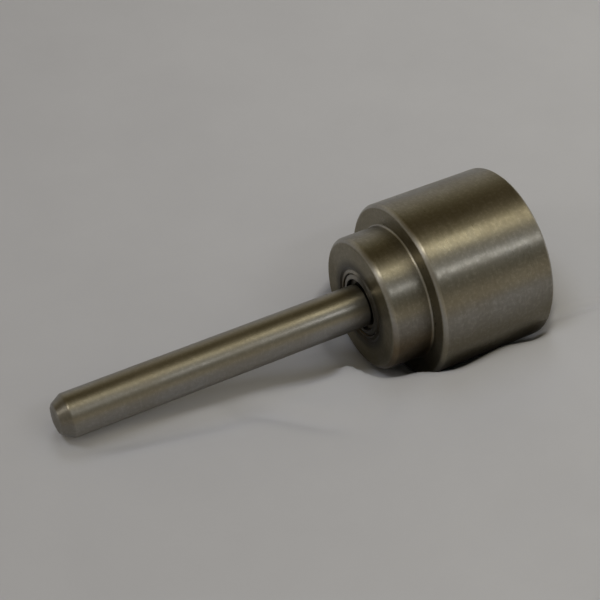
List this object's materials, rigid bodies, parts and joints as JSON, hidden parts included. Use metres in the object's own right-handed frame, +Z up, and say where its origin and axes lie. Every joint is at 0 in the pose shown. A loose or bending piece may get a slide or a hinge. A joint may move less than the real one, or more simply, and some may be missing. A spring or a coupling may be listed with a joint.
{
  "type": "live center",
  "caption": "Straight-shank lathe live center: a stationary arbor, and a rotating head with a boss, needle, ball and thrust bearings and a 60 degree point",
  "frame": {"origin": "centre of the flat end face of the shank, on the spin axis", "axes": "+X runs along the spin axis from the shank's end to the point; +Z is up; +Y completes the right-handed frame"},
  "size_m": [0.0946, 0.0332, 0.0332],
  "materials": {
    "arbor": "ground",
    "ball_bearing_inner_ring": "polished bearing steel",
    "thrust_shaft_washer": "polished bearing steel",
    "head_shell": "fine turned",
    "needle_bearing_cup": "drawn and hardened",
    "wave_washer": "blued spring steel",
    "ball_bearing_outer_ring": "polished bearing steel",
    "bearing_shield_front": "pressed sheet",
    "bearing_shield_rear": "pressed sheet",
    "thrust_housing_washer": "polished bearing steel",
    "nose_cap": "fine turned",
    "retaining_ring": "blued spring steel",
    "center_point": "hardened and ground",
    "cage": "pressed sheet",
    "rolling_element": "polished bearing steel"
  },
  "bodies": {
    "arbor": {"arbor": "arbor", "ball_bearing_inner_ring": "ball_bearing_inner_ring", "thrust_shaft_washer": "thrust_shaft_washer"},
    "head": {"head_shell": "head_shell", "needle_bearing_cup": "needle_bearing_cup", "wave_washer": "wave_washer", "ball_bearing_outer_ring": "ball_bearing_outer_ring", "bearing_shield_front": "bearing_shield_front", "bearing_shield_rear": "bearing_shield_rear", "thrust_housing_washer": "thrust_housing_washer", "nose_cap": "nose_cap", "retaining_ring": "retaining_ring", "center_point": "center_point"},
    "needle_set": {"needle_cage": "cage", "needle_01": "rolling_element", "needle_02": "rolling_element", "needle_03": "rolling_element", "needle_04": "rolling_element", "needle_05": "rolling_element", "needle_06": "rolling_element", "needle_07": "rolling_element", "needle_08": "rolling_element", "needle_09": "rolling_element", "needle_10": "rolling_element"},
    "ball_set": {"ball_cage": "cage", "ball_01": "rolling_element", "ball_02": "rolling_element", "ball_03": "rolling_element", "ball_04": "rolling_element", "ball_05": "rolling_element", "ball_06": "rolling_element", "ball_07": "rolling_element"},
    "thrust_set": {"thrust_cage": "cage", "thrust_ball_01": "rolling_element", "thrust_ball_02": "rolling_element", "thrust_ball_03": "rolling_element", "thrust_ball_04": "rolling_element", "thrust_ball_05": "rolling_element", "thrust_ball_06": "rolling_element", "thrust_ball_07": "rolling_element", "thrust_ball_08": "rolling_element", "thrust_ball_09": "rolling_element"}
  },
  "joints": [
    {"name": "head_spin", "type": "hinge", "parent": "arbor", "child": "head", "pos_m": [0.08, 0, 0], "axis": [1, 0, 0], "continuous": true},
    {"name": "needle_cage_spin", "type": "hinge", "parent": "arbor", "child": "needle_set", "pos_m": [0.063, 0, 0], "axis": [1, 0, 0], "continuous": true},
    {"name": "ball_cage_spin", "type": "hinge", "parent": "arbor", "child": "ball_set", "pos_m": [0.0743, 0, 0], "axis": [1, 0, 0], "continuous": true},
    {"name": "thrust_cage_spin", "type": "hinge", "parent": "arbor", "child": "thrust_set", "pos_m": [0.0828, 0, 0], "axis": [1, 0, 0], "continuous": true}
  ],
  "couplings": [
    {"joint": "needle_cage_spin", "follows": "head_spin", "ratio": 0.5758},
    {"joint": "ball_cage_spin", "follows": "head_spin", "ratio": 0.6323},
    {"joint": "thrust_cage_spin", "follows": "head_spin", "ratio": 0.5}
  ]
}
